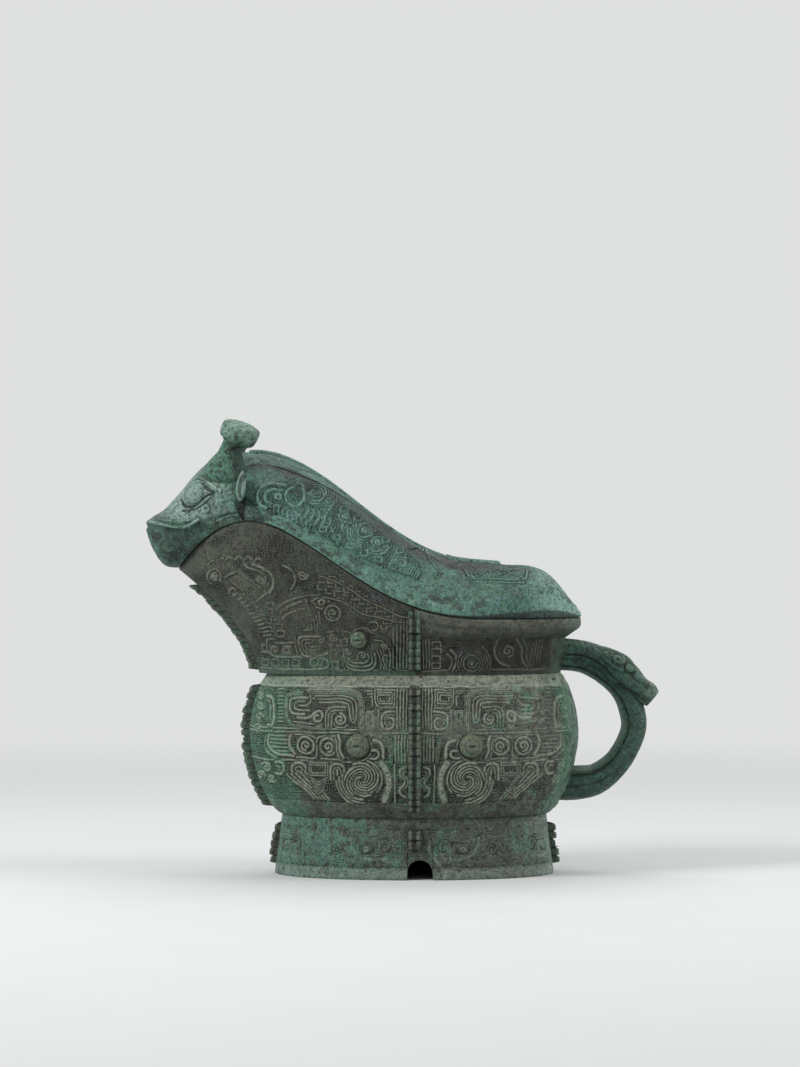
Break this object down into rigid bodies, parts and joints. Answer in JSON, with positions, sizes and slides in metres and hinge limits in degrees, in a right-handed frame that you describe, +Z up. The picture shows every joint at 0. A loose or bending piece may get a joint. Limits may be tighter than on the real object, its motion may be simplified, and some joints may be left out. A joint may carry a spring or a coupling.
{
  "type": "bronze guang wine vessel",
  "caption": "Covered bronze pouring vessel with an oval ring foot, a rising spout, a looped handle and a lift-off cover shaped as a horned animal's head and back.",
  "frame": {"origin": "centre of the ring foot's resting plane", "axes": "+Z up, -X towards the spout and the cover's head, +X towards the handle, -Y towards the side with the notched foot"},
  "size_m": [0.3009, 0.1332, 0.2676],
  "materials": {
    "foot_bronze": "patinated cast bronze",
    "belly_bronze": "patinated cast bronze",
    "neck_bronze": "patinated cast bronze",
    "handle_bronze": "patinated cast bronze",
    "flange_bronze": "patinated cast bronze",
    "boss_bronze": "patinated cast bronze",
    "cover_bronze": "patinated cast bronze",
    "tongue_bronze": "patinated cast bronze",
    "head_bronze": "patinated cast bronze",
    "horn_bronze": "patinated cast bronze"
  },
  "bodies": {
    "vessel": {"foot_ring": "foot_bronze", "belly_bowl": "belly_bronze", "neck_and_spout": "neck_bronze", "handle_loop": "handle_bronze", "handle_head": "handle_bronze", "spout_flange": "flange_bronze", "belly_flange_front": "flange_bronze", "foot_flange_front": "flange_bronze", "foot_flange_back": "flange_bronze", "neck_flange_near": "flange_bronze", "neck_flange_far": "flange_bronze", "belly_flange_near": "flange_bronze", "belly_flange_far": "flange_bronze", "foot_flange_near": "flange_bronze", "foot_flange_far": "flange_bronze", "belly_bosses_near": "boss_bronze", "belly_bosses_far": "boss_bronze", "neck_boss_near": "boss_bronze", "neck_boss_far": "boss_bronze"},
    "cover": {"cover_shell": "cover_bronze", "cover_tongue": "tongue_bronze", "cover_head": "head_bronze", "dorsal_band": "cover_bronze", "rear_crest": "cover_bronze", "eye_near": "head_bronze", "eye_far": "head_bronze", "horn_near": "horn_bronze", "horn_far": "horn_bronze", "ear_near": "head_bronze", "ear_far": "head_bronze"}
  },
  "joints": [
    {"name": "cover_lift", "type": "slide", "parent": "vessel", "child": "cover", "axis": [0, 0, 1], "range_m": [0, 0.12]}
  ]
}
